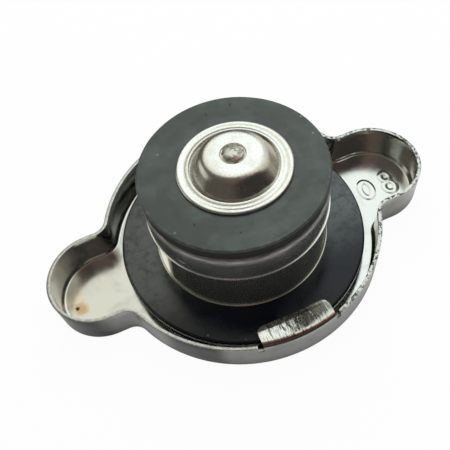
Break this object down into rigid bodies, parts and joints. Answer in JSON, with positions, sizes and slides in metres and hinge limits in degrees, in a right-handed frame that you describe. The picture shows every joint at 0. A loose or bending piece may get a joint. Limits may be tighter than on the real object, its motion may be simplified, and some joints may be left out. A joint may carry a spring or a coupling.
{
  "type": "radiator cap",
  "caption": "Chromed screw-on radiator cap with finger ears and cam tabs, a wide rubber neck gasket and a sprung valve plunger topped by a rubber seal and a domed vacuum valve.",
  "frame": {"origin": "on the cap's axis, at the middle of the shell's outer face, which the cap lies on", "axes": "+Z along the cap's axis, from the shell's outer face towards the valve plunger's end; the two finger ears are at -X and +X and the two cam tabs at -Y and +Y"},
  "size_m": [0.081, 0.0564, 0.0287],
  "materials": {
    "chrome": "bright chrome plate on drawn steel",
    "zinc_steel": "dull zinc plate",
    "can_steel": "smooth plated steel",
    "spring_steel": "dark spring steel",
    "nickel": "satin nickel plate",
    "seal_rubber": "matte moulded rubber",
    "gasket_rubber": "smooth dark rubber"
  },
  "bodies": {
    "shell_body": {"shell": "chrome", "centre_rivet": "zinc_steel"},
    "plunger": {"rivet_washer": "zinc_steel", "diaphragm_spring": "spring_steel", "neck_gasket": "gasket_rubber", "spring_can": "can_steel", "main_spring": "spring_steel"},
    "pressure_valve": {"valve_cup": "can_steel", "pressure_seal": "seal_rubber", "seal_ferrule": "zinc_steel", "vacuum_spring": "spring_steel"},
    "vacuum_valve": {"vacuum_disc": "nickel", "vacuum_stem": "zinc_steel", "spring_washer": "zinc_steel"}
  },
  "joints": [
    {"name": "swivel", "type": "hinge", "parent": "shell_body", "child": "plunger", "pos_m": [0, 0, 0], "axis": [0, 0, 1], "continuous": true},
    {"name": "pressure_slide", "type": "slide", "parent": "plunger", "child": "pressure_valve", "axis": [0, 0, -1], "range_m": [0, 0.0021], "stiffness_N_per_m": 8000, "springref_m": -0.0062, "deforming": ["main_spring"]},
    {"name": "vacuum_slide", "type": "slide", "parent": "pressure_valve", "child": "vacuum_valve", "axis": [0, 0, 1], "range_m": [0, 0.002], "stiffness_N_per_m": 300, "springref_m": -0.0017, "deforming": ["vacuum_spring"]}
  ]
}
